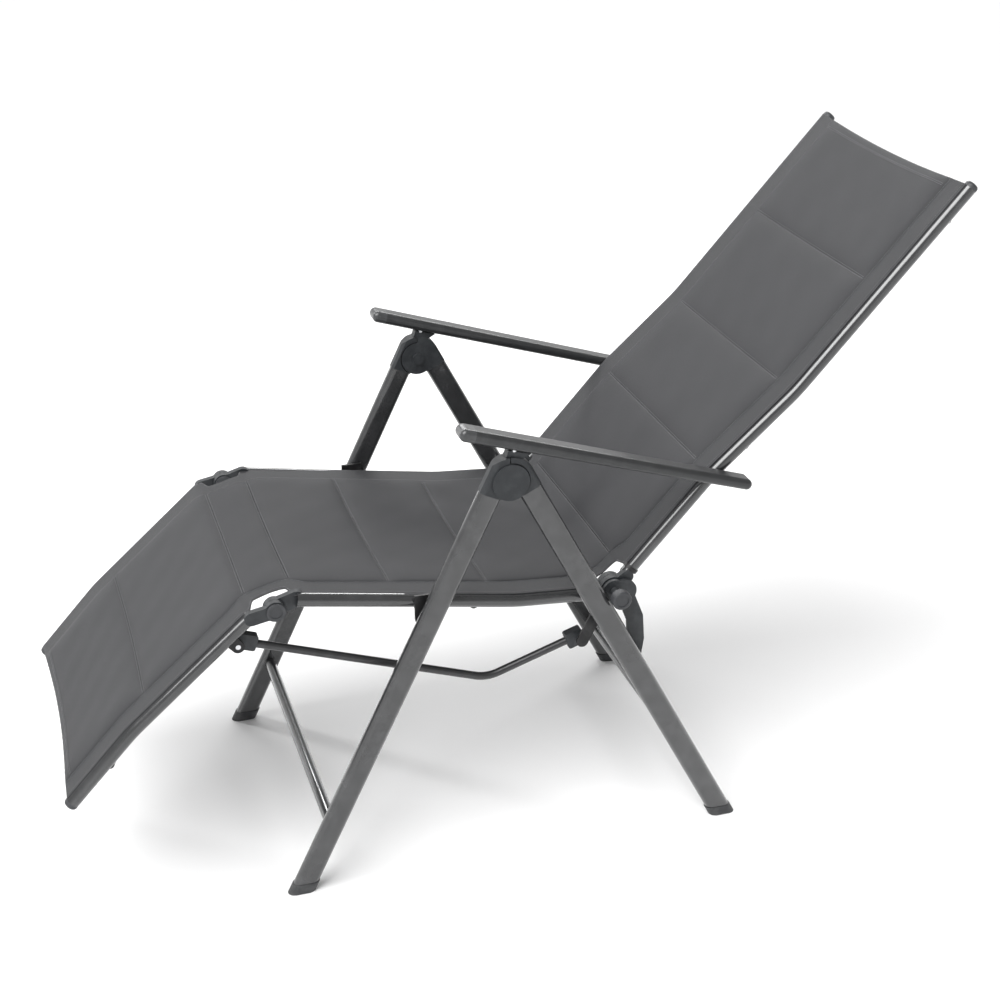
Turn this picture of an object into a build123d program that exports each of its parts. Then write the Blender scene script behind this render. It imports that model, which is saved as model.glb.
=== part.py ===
"""Reclining garden armchair with a linked footrest, opened for use and fully reclined.

Millimetres. +X is the sitter's left, the chair faces -Y, +Z is up. Side-view points are
(y, z) pairs measured from the front foot, and every piece is moved at the end so that the
origin lies under the middle of the chair.
"""
import os
from math import atan2, cos, degrees, hypot, radians, sin

from build123d import *

# Side-view pivots (y, z)
head_pivot = (378.0, 687.0)
seat_pivot = (249.0, 462.0)
knee_pivot = (16.0, 507.0)
rear_pivot = (560.0, 460.0)
link_pivot = (594.4, 323.0)
arm_pivot = (728.0, 634.0)
rod_front = (-43.5, 452.0)
rod_rear = (513.0, 367.0)
catch_point = (385.0, 736.5)
link_top_step = (17.0, -4.0)
link_top = (rear_pivot[0] + link_top_step[0], rear_pivot[1] + link_top_step[1])
link_bend = [(597.0, 405.0), (600.0, 365.0)]

# Legs
leg_depth = 38.0
leg_width = 20.0
leg_wall = 1.6
leg_inner = 262.0
front_lean_angle = 25.7
rear_lean_angle = 27.9
front_offset = 18.4
rear_offset = 21.0
leg_top_gap = 32.0
foot_height = 17.0
foot_wall = 1.4
foot_plug = 4.0
front_bar = (82.0, 114.0)
rear_bar = (720.0, 93.0)
bar_radius = 10.0

# Head joint
head_round = 40.0
disc_radius = 29.5
disc_gap = 1.5
head_depth = 22.0
lap_depth = 11.8
lap_gap = 0.3
disc_face = 24.0
head_split_angle = 91.0
head_grow = 1.5
bolt_radius = 5.0
block_outline = [(367.0, 720.0), (373.0, 731.0), (375.0, 738.2), (411.0, 728.4), (395.0, 720.0)]
head_clear = 0.5

# Rails
rail_inset = 21.0
rail_centre = leg_inner - rail_inset
rail_radius = 11.0
rail_wall = 1.5
bend_radius = 320.0
seat_rail = [(50.0, 517.5), (400.0, 459.5), (536.0, 450.5)]
back_rail = [(584.0, 477.5), (730.0, 640.0), (864.0, 760.5), (1136.0, 1066.0)]
foot_rail = [(-21.4, 499.8), (-215.0, 330.0), (-313.0, 223.0)]
cap_length = 9.0

# Cross bars of the seat, back and footrest
cross_radius = 7.5
cross_bow = 34.0
cross_drop = 9.8
cross_inset = 6.0
seat_bars = (335.0, 500.0)
back_bars = (0.35, 0.93)
foot_bars = (0.8,)

# Sling
sling_gap = 0.6
sling_half = rail_centre - rail_radius - sling_gap
sling_border = 29.4
pad_half = sling_half - sling_border
pad_thick = 12.0
border_thick = 4.0
pad_crown = 3.0
back_seams = (0.24, 0.47, 0.71)
foot_seams = (0.55,)
seat_seams = (0.03, 0.34, 0.68)

# Hinges
pin_radius = 5.0
pin_gap = 0.3
pin_head = 3.0
pin_flare = 3.5
running = 0.05
hinge_room = 30.0
cap_round = 3.0
cap_dish_share = 0.66
cap_dish = 1.5
eye_radius = 21.0
eye_gap = 0.6
knee_radius = 16.5
knee_cap_radius = 14.5
knee_dish_share = 0.68
knee_dish = 1.0
knee_cap_depth = 3.0
socket_half = 13.5
hinge_cap_radius = 15.9
hinge_cap_gap = 1.2
hinge_cap_depth = 13.8
hinge_cap_inner = leg_inner + leg_width + hinge_cap_gap
hinge_cap_face = (hinge_cap_inner, hinge_cap_inner + hinge_cap_depth)
bush_radius = 8.0
collar_length = 7.0
collar_radius = 13.0
lever_disc = 18.0

# Plates between rails and legs
plate_gap = 1.4
plate_room = 7.0
plate_outer = leg_inner - plate_gap
plate_inner = plate_outer - plate_room
bracket_thick = 4.0
bracket_reach = 18.0
bracket_rise = 40.0
weld_bite = 1.0
link_gap = 0.8
link_head = 0.9
link_clear = 0.4
link_half = 14.0
link_eye = 19.0
link_lobe = 21.0

# Footrest rods
rod_inset = 18.6
rod_centre = rail_centre - rod_inset
rod_radius = 6.5
rod_bend = (357.0, 314.5)
rod_bend_radius = 60.0
block_length = 30.0
block_height = 28.0
front_block_height = 26.0
front_block_lift = 2.5
front_block_start = 2.0
block_round = 4.0
block_width = 15.0
lever_thick = 4.0
lever_half = 10.0
rod_pin_radius = 4.0
lug_reach = 20.0

# Armrests
arm_slope_angle = 17.1
arm_gap = 1.4
arm_inner = rail_centre + rail_radius + arm_gap
arm_width = 37.0
arm_bottom = -1.0
arm_front_top = 19.5
arm_rear_top = 16.5
arm_front = 452.0
arm_back = -49.0
arm_round = 8.4
channel_width = 20.0
channel_top = 9.0
channel_front = 405.0
channel_back = 215.0
rail_plate = 2.0
tooth_pitch = 13.6
tooth_depth = 1.6
tooth_count = 8
first_tooth = 30.0
rivet_radius = 4.0
rivet_reach = 12.0
rivet_spare = 0.5
rivet_head_inset = 3.2
rivet_head_depth = 2.8
rivet_head = (rail_centre + rivet_head_inset, rail_centre + rivet_head_inset + rivet_head_depth)
rivet_flare = 1.0
plug_start = 428.0
catch_radius = 3.0
catch_half = 7.0
catch_width = 16.0

# Every cut runs past the faces that it opens
overrun = 2.0

sides = {"left": 1, "right": -1}
pieces = {}


def add(name, solid):
    """Keep one named piece."""
    solids = solid.solids()
    pieces[name] = solids[0] if len(solids) == 1 else Compound(children=list(solids))


def both(name, make):
    """Make a piece for the sitter's left and its mirror image for the right."""
    piece = make()
    add(name + "_left", piece)
    add(name + "_right", mirror(piece, about=Plane.YZ))


def pair(name, make):
    """Make a piece and its mirror image as one node of two solids."""
    piece = make()
    add(name, Compound([*piece.solids(), *mirror(piece, about=Plane.YZ).solids()]))


def lean_up(angle):
    """Unit side-view vector, leaning back by an angle from the vertical."""
    return (sin(radians(angle)), cos(radians(angle)))


def shift(point, direction, distance):
    """Side-view point moved along a side-view direction."""
    return (point[0] + distance * direction[0], point[1] + distance * direction[1])


def unit(start, end):
    """Unit side-view vector from one point to another."""
    length = hypot(end[0] - start[0], end[1] - start[1])
    return ((end[0] - start[0]) / length, (end[1] - start[1]) / length)


def bearing(start, end):
    """Angle in degrees of the side-view line from one point to another."""
    return degrees(atan2(end[1] - start[1], end[0] - start[0]))


def side_plane(x):
    """Plane whose x and y axes are the chair's Y and Z."""
    return Plane(origin=(x, 0, 0), x_dir=(0, 1, 0), z_dir=(1, 0, 0))


def slab(outline, inner, outer):
    """Extrude a side-view outline from one lateral face to another."""
    return extrude(side_plane(inner) * outline, amount=outer - inner)


def drum(point, radius, inner, outer):
    """Cylinder along X about a side-view point."""
    return slab(Pos(*point) * Circle(radius), inner, outer)


def strip(start, end, half):
    """Round-ended side-view bar between two points."""
    middle = ((start[0] + end[0]) / 2, (start[1] + end[1]) / 2)
    length = hypot(end[0] - start[0], end[1] - start[1])
    return Pos(*middle) * Rot(0, 0, bearing(start, end)) * SlotCenterToCenter(length, 2 * half)


def tube_along(points, x, radius, bend, wall=0):
    """Round tube through side-view points, with tangent bends."""
    corners = [(x, y, z) for y, z in points]
    path = FilletPolyline(*corners, radius=bend) if len(points) > 2 else Polyline(*corners)
    start = Plane(origin=path @ 0, z_dir=path % 0)
    solid = sweep(start * Circle(radius), path=path)
    if wall:
        solid -= sweep(start * Circle(radius - wall), path=path)
    return solid


# Leg axes: the point nearest the head pivot, and the direction up the leg
front_up = lean_up(front_lean_angle)
rear_up = lean_up(-rear_lean_angle)
front_near = shift(head_pivot, (-front_up[1], front_up[0]), front_offset)
rear_near = shift(head_pivot, (rear_up[1], -rear_up[0]), rear_offset)


def leg_section(grow):
    """Flat-oval leg section, long across the side view."""
    return SlotOverall(leg_depth + 2 * grow, leg_width + 2 * grow, rotation=90)


def leg_plane(near, up, distance):
    """Plane square to a leg, a distance up its axis from the point by the head."""
    point = shift(near, up, distance)
    return Plane(origin=(leg_inner + leg_width / 2, *point), x_dir=(1, 0, 0), z_dir=(0, up[0], up[1]))


def level_box(bottom, top):
    """Wide box between two heights, to cut legs and feet level with the floor."""
    size = 4 * leg_depth
    box = Box(size, 8 * size, top - bottom, align=(Align.CENTER, Align.CENTER, Align.MIN))
    return Pos(leg_inner + leg_width / 2, head_pivot[0], bottom) * box


def leg_tube(near, up):
    """Hollow leg from inside its foot to inside its head."""
    length = near[1] / up[1] + leg_depth
    plane = leg_plane(near, up, -leg_top_gap)
    outer = extrude(plane * leg_section(0), amount=-length)
    inner = extrude(plane * leg_section(-leg_wall), amount=-length)
    return (outer - inner) - level_box(-4 * leg_depth, foot_plug)


def foot_cap(near, up):
    """Plastic foot, cut flat for the floor, that the leg stands in."""
    length = near[1] / up[1] + leg_depth
    plane = leg_plane(near, up, -leg_top_gap)
    outer = extrude(plane * leg_section(foot_wall), amount=-length) & level_box(0, foot_height)
    socket = extrude(plane * leg_section(0), amount=-length) & level_box(foot_plug, foot_height + overrun)
    return outer - socket


def cross_bar(point):
    """Straight bar between the inner faces of two legs."""
    return drum(point, bar_radius, -leg_inner, leg_inner)


def head_outline(near, up, side):
    """Side view of a head: the top of the leg and a rounded crown about the pivot."""
    turn = degrees(atan2(up[1], up[0])) - 90
    tail_centre = shift(near, up, -leg_top_gap / 2)
    tail = Pos(*tail_centre) * Rot(0, 0, turn) * Rectangle(leg_depth, leg_top_gap)
    band = Pos(*near) * Rot(0, 0, turn) * Rectangle(leg_depth, 2 * head_round)
    crown = (Pos(*head_pivot) * Circle(head_round)) & band
    away = shift(head_pivot, (cos(radians(head_split_angle)), sin(radians(head_split_angle))), head_round)
    wedge_middle = shift(away, (sin(radians(head_split_angle)), -cos(radians(head_split_angle))), side * head_round)
    wedge = Pos(*wedge_middle) * Rot(0, 0, head_split_angle) * Rectangle(2 * head_round, 2 * head_round - disc_gap)
    return tail + (crown & (wedge + tail))


def head_body(near, up, side):
    """Body of a head, with the oval section of the leg that it stands on."""
    plane = leg_plane(near, up, -leg_top_gap)
    column = extrude(plane * leg_section(head_grow), amount=leg_top_gap + 2 * head_round)
    return slab(head_outline(near, up, side), leg_inner, leg_inner + head_depth) & column


def front_head():
    """Front head with the outer round disc, lapped over the rear head."""
    block = head_body(front_near, front_up, -1)
    block -= drum(head_pivot, disc_radius + disc_gap, leg_inner - overrun, leg_inner + lap_depth + lap_gap)
    disc = drum(head_pivot, disc_radius, leg_inner + lap_depth + lap_gap, leg_inner + disc_face)
    bore = drum(head_pivot, bolt_radius + running, leg_inner, leg_inner + disc_face - overrun)
    return block + disc - bore


def rear_head():
    """Rear head with the inner disc and the recess that the front disc turns in."""
    block = head_body(rear_near, rear_up, 1)
    block -= drum(head_pivot, disc_radius + disc_gap, leg_inner + lap_depth, leg_inner + 2 * disc_face)
    disc = drum(head_pivot, disc_radius, leg_inner, leg_inner + lap_depth)
    bore = drum(head_pivot, bolt_radius, leg_inner - overrun, leg_inner + disc_face)
    return block + disc - bore


def head_bolt():
    """Bolt through both heads, with its head against the inner face."""
    shank = drum(head_pivot, bolt_radius, leg_inner, leg_inner + disc_face - 2 * overrun)
    return shank + drum(head_pivot, 2 * bolt_radius, leg_inner - bolt_radius, leg_inner)


def catch_block():
    """Flared block on the rear head, under the armrest, that carries the catch."""
    middle = leg_inner + leg_width / 2
    inner, outer = middle - catch_width / 2, middle + catch_width / 2
    body = slab(make_face(Polyline(*block_outline, close=True)), inner, outer)
    low = (catch_point[0], head_pivot[1] + head_round)
    body += slab(strip(low, catch_point, catch_radius), middle - catch_half / 2, middle + catch_half / 2)
    front = drum(head_pivot, head_round + head_clear, inner, outer)
    front &= Pos(inner, head_pivot[0], head_pivot[1]) * Box(
        2 * catch_width, 4 * head_round, 4 * head_round, align=(Align.MIN, Align.MAX, Align.CENTER))
    body -= front
    return body - rear_head() - drum(catch_point, catch_radius - running, inner, outer)


def catch_pin():
    """Steel cross pin that the ratchet of the armrest sits on."""
    middle = leg_inner + leg_width / 2
    return drum(catch_point, catch_radius - running, middle - catch_half, middle + catch_half)


def make_legs():
    """Legs, feet, heads and the bars between the legs."""
    both("front_leg", lambda: leg_tube(front_near, front_up))
    both("rear_leg", lambda: leg_tube(rear_near, rear_up))
    pair("front_feet", lambda: foot_cap(front_near, front_up))
    pair("rear_feet", lambda: foot_cap(rear_near, rear_up))
    both("front_head", front_head)
    both("rear_head", rear_head)
    pair("head_bolts", head_bolt)
    pair("catch_blocks", catch_block)
    pair("catch_pins", catch_pin)
    add("front_crossbar", cross_bar(front_bar))
    add("rear_crossbar", cross_bar(rear_bar))


def rail_point(points, share):
    """Side-view point and bearing at a share of the length of a rail."""
    lengths = [hypot(b[0] - a[0], b[1] - a[1]) for a, b in zip(points, points[1:])]
    wanted = share * sum(lengths)
    for start, end, length in zip(points, points[1:], lengths):
        if wanted <= length or end == points[-1]:
            direction = ((end[0] - start[0]) / length, (end[1] - start[1]) / length)
            return shift(start, direction, wanted), direction
        wanted -= length


def bowed_bar(points, share, away):
    """Bar between two rails, bowed away from the sling in the middle."""
    (y, z), (dy, dz) = rail_point(points, share)
    low = shift((y, z), (away * dz, -away * dy), cross_bow)
    reach = rail_centre - cross_inset
    end = shift((y, z), (away * dz, -away * dy), cross_drop)
    corners = [(-reach, *end), (-reach + 2 * cross_bow, *low), (reach - 2 * cross_bow, *low), (reach, *end)]
    path = FilletPolyline(*corners, radius=cross_bow)
    bar = sweep(Plane(origin=path @ 0, z_dir=path % 0) * Circle(cross_radius), path=path)
    rail = tube_along(points, rail_centre, rail_radius, bend_radius)
    return bar - rail - mirror(rail, about=Plane.YZ)


def end_cap(points):
    """Rounded plastic plug on the open end of a rail."""
    start, end = points[-2], points[-1]
    angle = bearing(start, end)
    plane = Plane(origin=(rail_centre, *end), x_dir=(1, 0, 0),
                  z_dir=(0, cos(radians(angle)), sin(radians(angle))))
    plug = extrude(plane * Circle(rail_radius), amount=cap_length)
    return fillet(plug.edges().sort_by(Axis(plane.origin, plane.z_dir))[-1], rail_radius / 2)


def pad_outline(points, seams, thick, crown):
    """Side view of a quilted panel: both faces swell between the sewn seams."""
    shares = [0.0, *seams, 1.0]
    spots = [rail_point(points, share) for share in shares]
    half = thick / 2
    upper = [shift(p, (-d[1], d[0]), half) for p, d in spots]
    lower = [shift(p, (d[1], -d[0]), half) for p, d in spots]
    edges = []
    for left, right in zip(range(len(shares)), range(1, len(shares))):
        middle, direction = rail_point(points, (shares[left] + shares[right]) / 2)
        high = shift(middle, (-direction[1], direction[0]), half + crown)
        low = shift(middle, (direction[1], -direction[0]), half + crown)
        edges.append(ThreePointArc(upper[left], high, upper[right]))
        edges.append(ThreePointArc(lower[left], low, lower[right]))
    edges.append(Line(upper[0], lower[0]))
    edges.append(Line(upper[-1], lower[-1]))
    return make_face(Wire(edges))


def sling_panel(points, seams, pad):
    """Sling between two rails: a quilted middle with a thin border each side."""
    middle = slab(pad_outline(points, seams, pad, pad_crown), -pad_half, pad_half)
    border = slab(pad_outline(points, seams, border_thick, 0.5 * pad_crown), -sling_half, sling_half)
    return middle + border


def seat_eye(point, radius, rail_end, inner, outer, half=rail_radius):
    """Hinge eye with a short socket that the end of a rail is fixed in."""
    eye = drum(point, radius, inner, outer)
    arm = slab(strip(point, rail_end, half), inner, outer)
    bore = drum(point, pin_radius + running, inner - overrun, outer + overrun)
    return eye + arm - bore


inner_lap = (rail_centre - rail_radius, rail_centre - eye_gap / 2)
outer_lap = (rail_centre + eye_gap / 2, rail_centre + rail_radius)
lever_face = (outer_lap[0], outer_lap[0] + lever_thick)
block_face = (rod_centre - block_width / 2, rod_centre + block_width / 2)


def rail_with_room(points, taken):
    """Rail tube less the room that its own hinge eyes take."""
    tube = tube_along(points, rail_centre, rail_radius, bend_radius, rail_wall)
    for eye in taken:
        tube -= eye
    return tube


def seat_bracket():
    """Plate under the seat rail that the front leg's pivot passes through."""
    plate_middle = shift(seat_pivot, (0, 1), bracket_rise / 2)
    outline = Pos(*seat_pivot) * Circle(bracket_reach)
    outline += Pos(*plate_middle) * Rectangle(2 * bracket_reach, bracket_rise)
    plate = slab(outline, plate_inner, plate_inner + bracket_thick)
    share = (seat_pivot[0] - seat_rail[0][0]) / (seat_rail[-1][0] - seat_rail[0][0])
    weld_middle = (seat_pivot[0], rail_point(seat_rail, share)[0][1])
    weld = slab(Pos(*weld_middle) * Rectangle(2 * bracket_reach, rail_radius),
                rail_centre + rail_radius - weld_bite, plate_inner)
    bore = drum(seat_pivot, pin_radius + running, plate_inner - overrun, plate_outer)
    return plate + weld - bore


def seat_pin():
    """Shouldered pin fixed to the front leg, in the seat bracket."""
    shank = drum(seat_pivot, pin_radius, plate_inner - pin_gap, leg_inner)
    shoulder = drum(seat_pivot, pin_radius + pin_flare, plate_inner + bracket_thick + pin_gap, leg_inner)
    head = drum(seat_pivot, pin_radius + pin_flare, plate_inner - pin_gap - pin_head, plate_inner - pin_gap)
    return shank + shoulder + head


def make_seat():
    """Seat rails, eyes, brackets, bars and sling."""
    rear_eye = seat_eye(rear_pivot, eye_radius, seat_rail[-1], *inner_lap)
    knee_eye = seat_eye(knee_pivot, knee_radius, seat_rail[0], *inner_lap, socket_half)
    bracket = seat_bracket()
    tube = rail_with_room(seat_rail, [rear_eye, knee_eye, bracket, drum(rear_pivot, hinge_room, *outer_lap)])
    both("seat_rail", lambda: tube)
    pair("seat_rear_eyes", lambda: rear_eye)
    pair("seat_knee_eyes", lambda: knee_eye)
    pair("seat_brackets", lambda: bracket)
    pair("seat_pins", seat_pin)
    length = seat_rail[-1][0] - seat_rail[0][0]
    for name, y in zip(("seat_front_bar", "seat_rear_bar"), seat_bars):
        add(name, bowed_bar(seat_rail, (y - seat_rail[0][0]) / length, 1))
    add("seat_sling", sling_panel(seat_rail, seat_seams, pad_thick))


def rear_hinge_pin():
    """Long pin through the rear hinge, headed on the inside."""
    shank = drum(rear_pivot, pin_radius, inner_lap[0] - pin_gap, hinge_cap_face[0])
    head = drum(rear_pivot, pin_radius + pin_flare, inner_lap[0] - pin_gap - pin_head, inner_lap[0] - pin_gap)
    return shank + head


def hinge_bush():
    """Plastic bush on the hinge pin that rests against the rear edge of the leg."""
    tube = drum(rear_pivot, bush_radius, plate_outer + link_clear, hinge_cap_face[0])
    return tube - drum(rear_pivot, pin_radius, plate_outer - overrun, hinge_cap_face[0] + overrun)


def hinge_cap():
    """Round outer cap with a raised rim."""
    cap = drum(rear_pivot, hinge_cap_radius, *hinge_cap_face)
    cap = fillet(cap.edges().sort_by(Axis.X)[-1], cap_round)
    dish_face = hinge_cap_face[1] - cap_dish
    return cap - drum(rear_pivot, hinge_cap_radius * cap_dish_share, dish_face, hinge_cap_face[1] + overrun)


def back_collar():
    """Double ring where the back rail enters its eye."""
    direction = unit(back_rail[0], back_rail[1])
    start = shift(back_rail[0], direction, rail_radius)
    plane = Plane(origin=(rail_centre, *start), x_dir=(1, 0, 0), z_dir=(0, *direction))
    outer = extrude(plane * Circle(collar_radius), amount=collar_length)
    return outer - extrude(plane * Circle(rail_radius), amount=collar_length)


def rod_lever():
    """Plate from the foot of the back rail down to the rear pin of the rod."""
    outline = strip(rear_pivot, rod_rear, lever_half) + Pos(*rear_pivot) * Circle(lever_disc)
    return slab(outline, *lever_face)


def make_back():
    """Back rails, eyes, levers, bars and sling."""
    eye = seat_eye(rear_pivot, eye_radius, back_rail[0], *outer_lap)
    eye -= rod_lever()
    lever = rod_lever() - drum(rear_pivot, pin_radius + running, *lever_face)
    collar = back_collar() - eye
    tube = rail_with_room(back_rail, [eye])
    both("back_rail", lambda: tube)
    pair("back_eyes", lambda: eye)
    pair("back_collars", lambda: collar)
    pair("rod_levers", lambda: lever)
    pair("back_end_caps", lambda: end_cap(back_rail))
    for name, share in zip(("back_lower_bar", "back_upper_bar"), back_bars):
        add(name, bowed_bar(back_rail, share, 1))
    panel = sling_panel(back_rail, back_seams, pad_thick)
    add("back_sling", panel - back_collar() - mirror(back_collar(), about=Plane.YZ))


def knee_pin():
    """Pin through the knee with a broad round cap each side."""
    cap_out, cap_in = outer_lap[1] + pin_gap, inner_lap[0] - pin_gap
    shank = drum(knee_pivot, pin_radius, cap_in, cap_out)
    outer = drum(knee_pivot, knee_cap_radius, cap_out, cap_out + knee_cap_depth)
    outer -= drum(knee_pivot, knee_cap_radius * knee_dish_share, cap_out + knee_cap_depth - knee_dish,
                  cap_out + knee_cap_depth + overrun)
    inner = drum(knee_pivot, knee_cap_radius, cap_in - knee_cap_depth, cap_in)
    return shank + outer + inner


def foot_lug():
    """Plate under the footrest rail that the front rod pin passes through."""
    direction = unit(foot_rail[0], foot_rail[1])
    middle = shift(rod_front, (direction[1], -direction[0]), lug_reach)
    plate = slab(strip(rod_front, middle, lever_half), *lever_face)
    bore = drum(rod_front, rod_pin_radius + running, lever_face[0] - overrun, lever_face[1] + overrun)
    return plate - bore - tube_along(foot_rail, rail_centre, rail_radius, bend_radius)


def make_footrest():
    """Footrest rails, eyes, lugs, bar and sling."""
    eye = seat_eye(knee_pivot, knee_radius, foot_rail[0], *outer_lap)
    lug = foot_lug()
    tube = rail_with_room(foot_rail, [eye])
    both("foot_rail", lambda: tube)
    pair("foot_knee_eyes", lambda: eye)
    pair("foot_lugs", lambda: lug - eye)
    pair("foot_end_caps", lambda: end_cap(foot_rail))
    for share in foot_bars:
        add("foot_bar", bowed_bar(foot_rail, share, -1))
    add("foot_sling", sling_panel(foot_rail, foot_seams, pad_thick))


def rod():
    """Bent rod between the two plastic end blocks."""
    front_in = shift(rod_front, unit(rod_front, rod_bend), block_length)
    rear_in = shift(rod_rear, unit(rod_rear, rod_bend), block_length / 2)
    return tube_along([front_in, rod_bend, rear_in], rod_centre, rod_radius, rod_bend_radius)


def rod_block(pin, height, offset, lift):
    """Plastic block on the end of a rod, set along it and to one side of it."""
    direction = unit(pin, rod_bend)
    middle = shift(shift(pin, direction, offset), (-direction[1], direction[0]), lift)
    outline = Pos(*middle) * Rot(0, 0, bearing(pin, rod_bend)) * RectangleRounded(
        block_length, height, block_round)
    return outline


def front_rod_block():
    """Block of the front pin, with a round eye that turns on it."""
    outline = rod_block(rod_front, front_block_height, front_block_start + block_length / 2, front_block_lift)
    outline += Pos(*rod_front) * Circle(lever_half)
    block = slab(outline, *block_face)
    return block - drum(rod_front, rod_pin_radius + running, block_face[0] - overrun, block_face[1] + overrun)


def front_rod_pin():
    """Steel pin through the footrest lug and the front block."""
    face = block_face[0] - pin_gap
    shank = drum(rod_front, rod_pin_radius, face, lever_face[1])
    return shank + drum(rod_front, rod_pin_radius + pin_flare, face - pin_head, face)


def rear_rod_pin():
    """Steel pin on the rear block, flush with the lever."""
    shank = drum(rod_rear, rod_pin_radius, block_face[0], lever_face[0])
    return shank + drum(rod_rear, rod_pin_radius + pin_flare, block_face[0] - pin_head, block_face[0])


def make_rods():
    """The rods that raise the footrest as the back goes down."""
    front_block = front_rod_block()
    rear_block = slab(rod_block(rod_rear, block_height, block_length / 4, 0), *block_face)
    rear_pin = rear_rod_pin()
    both("footrest_rod", lambda: rod() - front_block - rear_block)
    pair("rod_front_blocks", lambda: front_block)
    pair("rod_rear_blocks", lambda: rear_block - rear_pin)
    pair("rod_rear_pins", lambda: rear_pin)
    pair("rod_front_pins", front_rod_pin)


def link():
    """Curved link from the rear hinge down to the rear leg."""
    line = [link_top, *link_bend, link_pivot]
    outline = Pos(*rear_pivot) * Circle(link_eye) + Pos(*link_pivot) * Circle(link_eye)
    outline += Pos(*link_top) * Circle(link_lobe)
    for start, end in zip(line, line[1:]):
        outline += strip(start, end, link_half)
    bore = drum(rear_pivot, pin_radius + running, plate_inner - overrun, plate_outer + overrun)
    bore += drum(link_pivot, pin_radius, plate_inner - overrun, plate_outer + overrun)
    return slab(outline, plate_inner, plate_outer - link_gap) - bore


def link_pin():
    """Rivet in the lower eye of the link, flush with the leg."""
    head = drum(link_pivot, pin_radius + pin_flare, plate_inner - link_head, plate_inner)
    shank = drum(link_pivot, pin_radius, plate_inner, plate_outer)
    neck = drum(link_pivot, pin_radius + pin_flare, plate_outer - link_gap, leg_inner - link_clear)
    return head + shank + neck


def make_links():
    """Links that lower the rear of the seat as the legs close."""
    both("fold_link", link)
    pair("link_rivets", link_pin)


def arm_frame(point):
    """Side-view point from armrest coordinates: forward from the pivot, and up."""
    along, up = point
    slope = radians(arm_slope_angle)
    y = arm_pivot[0] - along * cos(slope) + up * sin(slope)
    z = arm_pivot[1] + along * sin(slope) + up * cos(slope)
    return (y, z)


def armrest():
    """Moulded armrest, tapered to the rear, with a channel for the ratchet below."""
    front, back = arm_front, arm_back
    middle_front = (arm_front_top + arm_bottom) / 2
    middle_back = (arm_rear_top + arm_bottom) / 2
    low_front, low_back = (front - middle_front, arm_bottom), (back + middle_back, arm_bottom)
    high_front, high_back = (front - middle_front, arm_front_top), (back + middle_back, arm_rear_top)
    edges = [
        Line(arm_frame(low_back), arm_frame(low_front)),
        ThreePointArc(arm_frame(low_front), arm_frame((front, middle_front)), arm_frame(high_front)),
        Line(arm_frame(high_front), arm_frame(high_back)),
        ThreePointArc(arm_frame(high_back), arm_frame((back, middle_back)), arm_frame(low_back)),
    ]
    body = slab(make_face(Wire(edges)), arm_inner, arm_inner + arm_width)
    outline_edges = body.edges().filter_by(lambda e: abs(e.tangent_at(0.5).X) < 0.5)
    return fillet(outline_edges, arm_round) - channel()


def plug_box():
    """Box over the tip of the armrest, where the end plug takes over."""
    reach = arm_front - plug_start + overrun
    points = [(plug_start, -arm_width), (plug_start + reach, -arm_width),
              (plug_start + reach, arm_width), (plug_start, arm_width)]
    outline = make_face(Polyline(*[arm_frame(p) for p in points], close=True))
    return slab(outline, arm_inner - overrun, arm_inner + arm_width + overrun)


def channel():
    """Slot in the underside of the armrest, for the ratchet and its catch."""
    points = [(channel_back, arm_bottom - overrun), (channel_front, arm_bottom - overrun),
              (channel_front, channel_top), (channel_back, channel_top)]
    outline = make_face(Polyline(*[arm_frame(p) for p in points], close=True))
    middle = leg_inner + leg_width / 2
    return slab(outline, middle - channel_width / 2, middle + channel_width / 2)


def ratchet():
    """Toothed strip in the roof of the armrest's channel."""
    start = channel_back + first_tooth
    points = [(channel_back, channel_top), (channel_front, channel_top),
              (channel_front, channel_top - rail_plate)]
    for index in range(tooth_count, 0, -1):
        tip = start + index * tooth_pitch
        points.append((tip, channel_top - rail_plate))
        points.append((tip - tooth_pitch / 2, channel_top - rail_plate - tooth_depth))
    points.append((start, channel_top - rail_plate))
    points.append((channel_back, channel_top - rail_plate))
    outline = make_face(Polyline(*[arm_frame(p) for p in points], close=True))
    middle = leg_inner + leg_width / 2
    return slab(outline, middle - channel_width / 2, middle + channel_width / 2)


def arm_rivet():
    """Rivet from inside the hollow back rail, carrying the armrest."""
    shank = drum(arm_pivot, rivet_radius, rivet_head[0], arm_inner + rivet_reach)
    return shank + drum(arm_pivot, rivet_radius + rivet_flare, *rivet_head)


def make_armrests():
    """Armrests, ratchets and their pivots on the back."""
    bore = drum(arm_pivot, rivet_radius + running, arm_inner - overrun, arm_inner + rivet_reach + rivet_spare)
    shape = armrest() - bore
    both("armrest", lambda: shape - plug_box())
    both("armrest_tip", lambda: shape & plug_box())
    both("armrest_ratchet", ratchet)
    pair("armrest_rivets", arm_rivet)
    rail_bore = drum(arm_pivot, rivet_radius + running, rail_centre, arm_inner)
    rail_bore += drum(arm_pivot, rivet_radius + rivet_flare + running, rivet_head[0] - pin_gap, rivet_head[1] + pin_gap)
    for name, sign in sides.items():
        cut = rail_bore if sign > 0 else mirror(rail_bore, about=Plane.YZ)
        add("back_rail_" + name, pieces["back_rail_" + name] - cut)


def make_hinges():
    """Pins and caps of the rear hinge and the knee."""
    pair("rear_hinge_pins", rear_hinge_pin)
    pair("hinge_bushes", hinge_bush)
    pair("hinge_caps", hinge_cap)
    pair("knee_pins", knee_pin)


make_legs()
make_seat()
make_back()
make_footrest()
make_rods()
make_links()
make_armrests()
make_hinges()

whole = Compound(list(pieces.values())).bounding_box()
centre_y = (whole.min.Y + whole.max.Y) / 2
floor_z = whole.min.Z

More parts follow.
